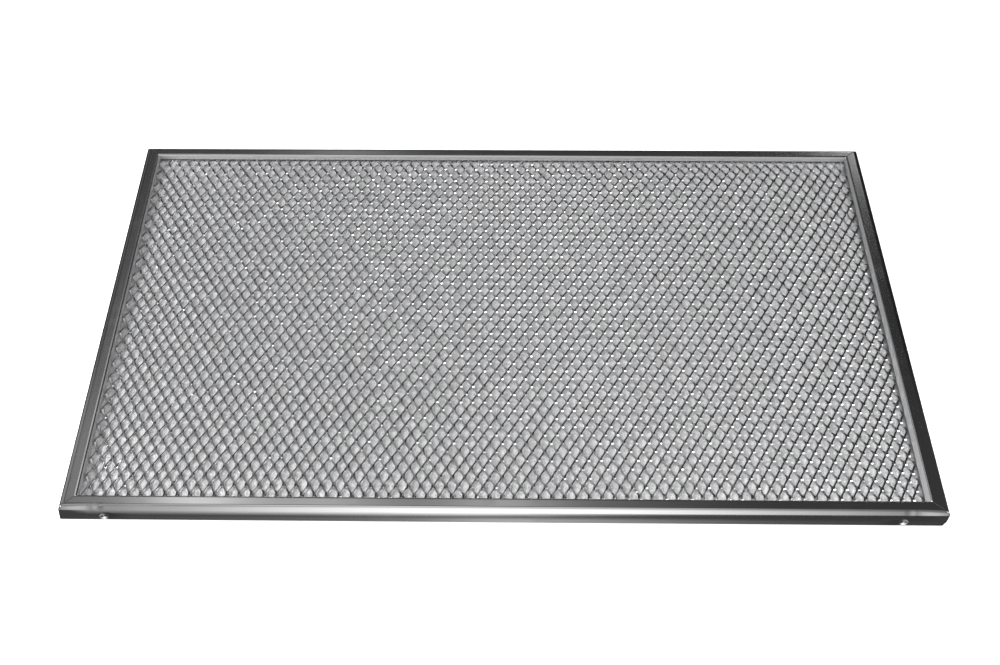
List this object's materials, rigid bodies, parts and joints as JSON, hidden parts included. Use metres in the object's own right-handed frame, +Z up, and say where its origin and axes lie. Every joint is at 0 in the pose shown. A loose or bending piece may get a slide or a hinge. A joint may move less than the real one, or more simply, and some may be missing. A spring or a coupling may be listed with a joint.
{
  "type": "cooker hood carbon filter",
  "caption": "Flat rectangular filter panel with a folded metal frame, diamond mesh faces and a carbon pad inside, for the air intake of a cooker hood.",
  "frame": {"origin": "middle of the underside of the frame", "axes": "+X along the long side, +Y from the front rail to the back rail, +Z up through the crowned mesh face"},
  "size_m": [0.38, 0.267, 0.008],
  "materials": {
    "rail": "bright rolled sheet, folded, with soft streaked reflections",
    "key": "plain zinc plated strip",
    "face_mesh": "bright expanded metal with shiny knuckles",
    "foil": "pale matt fine foil mesh",
    "carbon": "matt black carbon-loaded fleece"
  },
  "bodies": {
    "root": {"front_rail": "rail", "back_rail": "rail", "left_rail": "rail", "right_rail": "rail", "front_left_key": "key", "front_right_key": "key", "back_left_key": "key", "back_right_key": "key", "top_face_mesh": "face_mesh", "upper_outer_foil": "foil", "upper_inner_foil": "foil", "carbon_pad": "carbon", "lower_inner_foil": "foil", "lower_outer_foil": "foil", "bottom_face_mesh": "face_mesh"}
  },
  "joints": []
}
